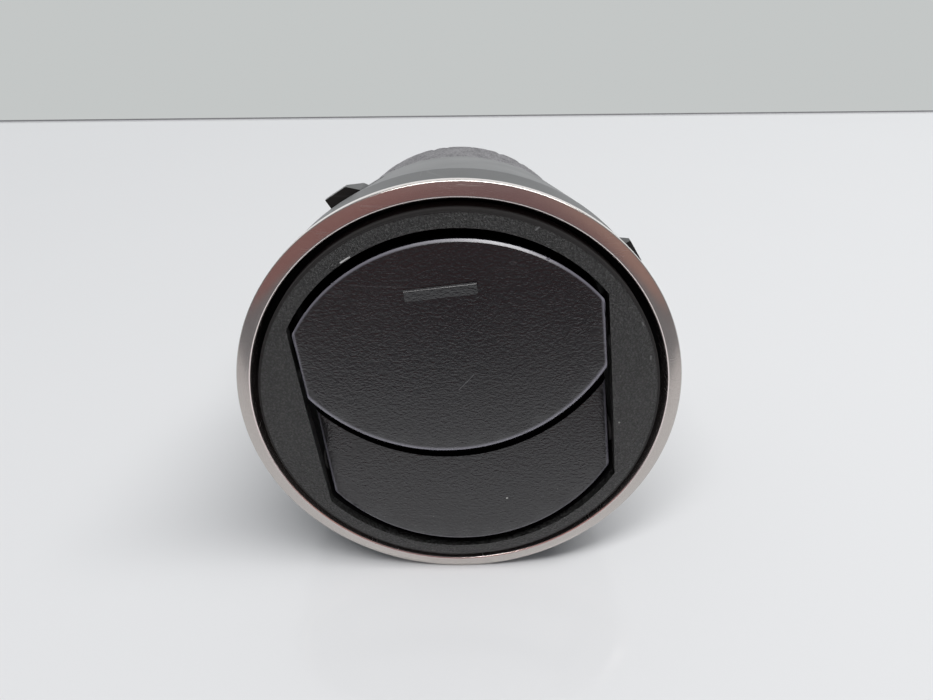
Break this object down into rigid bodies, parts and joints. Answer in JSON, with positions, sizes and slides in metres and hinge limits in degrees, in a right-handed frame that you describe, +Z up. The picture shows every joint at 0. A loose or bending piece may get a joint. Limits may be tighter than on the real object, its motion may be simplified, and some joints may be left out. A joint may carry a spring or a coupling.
{
  "type": "dashboard air vent",
  "caption": "Round dashboard air vent: a turning disc with overlapping crowned flaps in a trim ring, on a tapered snap-in barrel with a foam-sealed duct spigot.",
  "frame": {"origin": "on the vent's axis, in the plane that seats on the dashboard (back face of the housing's flange)", "axes": "+Y back into the dashboard along the vent's axis, +Z up, +X to the right seen from the cabin"},
  "size_m": [0.092, 0.0854, 0.092],
  "materials": {
    "ring_paint": "satin metallic paint",
    "face_plastic": "fine grain",
    "flap_plastic": "leather grain",
    "cage_plastic": "satin",
    "housing_plastic": "satin",
    "foam": "open-cell foam",
    "soft_bush": "matt",
    "link_plastic": "natural"
  },
  "bodies": {
    "housing": {"housing": "housing_plastic", "bezel_ring": "ring_paint", "foam_seal": "foam"},
    "rotor": {"rotor_cage": "cage_plastic", "rotor_face": "face_plastic", "friction_band": "soft_bush", "upper_bush_left": "soft_bush", "upper_bush_right": "soft_bush", "lower_bush_left": "soft_bush", "lower_bush_right": "soft_bush"},
    "upper_flap": {"upper_flap": "flap_plastic"},
    "lower_flap": {"lower_flap": "flap_plastic"},
    "link": {"link_bar": "link_plastic"}
  },
  "joints": [
    {"name": "rotor_turn", "type": "hinge", "parent": "housing", "child": "rotor", "pos_m": [0, 0, 0], "axis": [0, 1, 0], "continuous": true},
    {"name": "upper_flap_tilt", "type": "hinge", "parent": "rotor", "child": "upper_flap", "pos_m": [-0.00155, 0.001, 0.01271], "axis": [-0.9926, 0, -0.1212], "range_deg": [0, 80]},
    {"name": "lower_flap_tilt", "type": "hinge", "parent": "rotor", "child": "lower_flap", "pos_m": [0.00155, 0.001, -0.01271], "axis": [-0.9926, 0, -0.1212], "range_deg": [0, 80]},
    {"name": "link_swing", "type": "hinge", "parent": "upper_flap", "child": "link", "pos_m": [-0.00193, 0.00468, 0.01577], "axis": [-0.9926, 0, -0.1212], "range_deg": [-80, 0]}
  ],
  "couplings": [
    {"joint": "lower_flap_tilt", "follows": "upper_flap_tilt", "ratio": 1},
    {"joint": "link_swing", "follows": "upper_flap_tilt", "ratio": -1}
  ]
}
